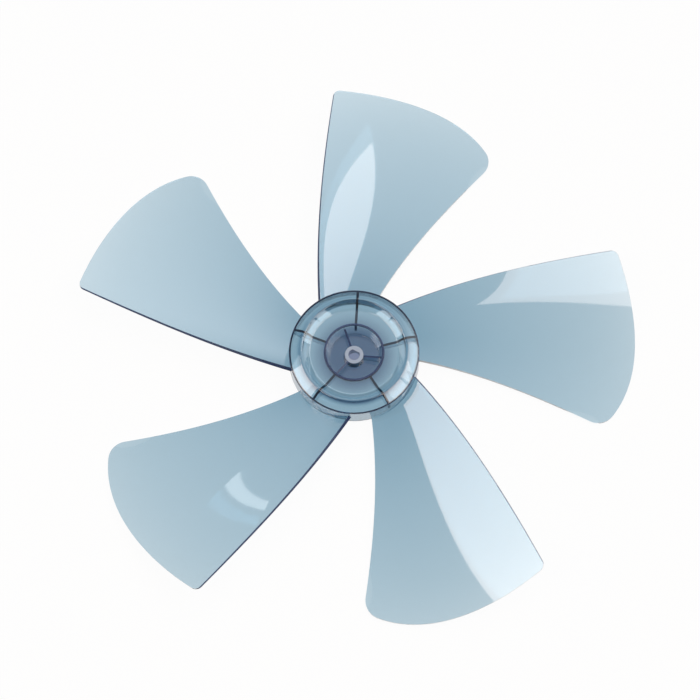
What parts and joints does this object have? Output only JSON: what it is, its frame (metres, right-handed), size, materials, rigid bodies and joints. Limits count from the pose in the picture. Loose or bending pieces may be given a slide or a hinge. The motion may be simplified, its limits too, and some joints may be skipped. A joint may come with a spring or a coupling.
{
  "type": "pedestal fan blade",
  "caption": "Moulded clear tinted plastic fan impeller: wide swept blades around a ribbed hub with a deep centre well and a bore for a flat-sided motor shaft.",
  "frame": {"origin": "on the shaft axis, at the rear mouth of the bore, level with the hub's rear edge", "axes": "+Z along the shaft to the front, the way the air leaves; +Y is the picture's up direction"},
  "size_m": [0.3908, 0.3896, 0.0241],
  "materials": {
    "clear_plastic": "clear blue tint, polished"
  },
  "bodies": {
    "root": {"fan_blade": "clear_plastic"}
  },
  "joints": []
}
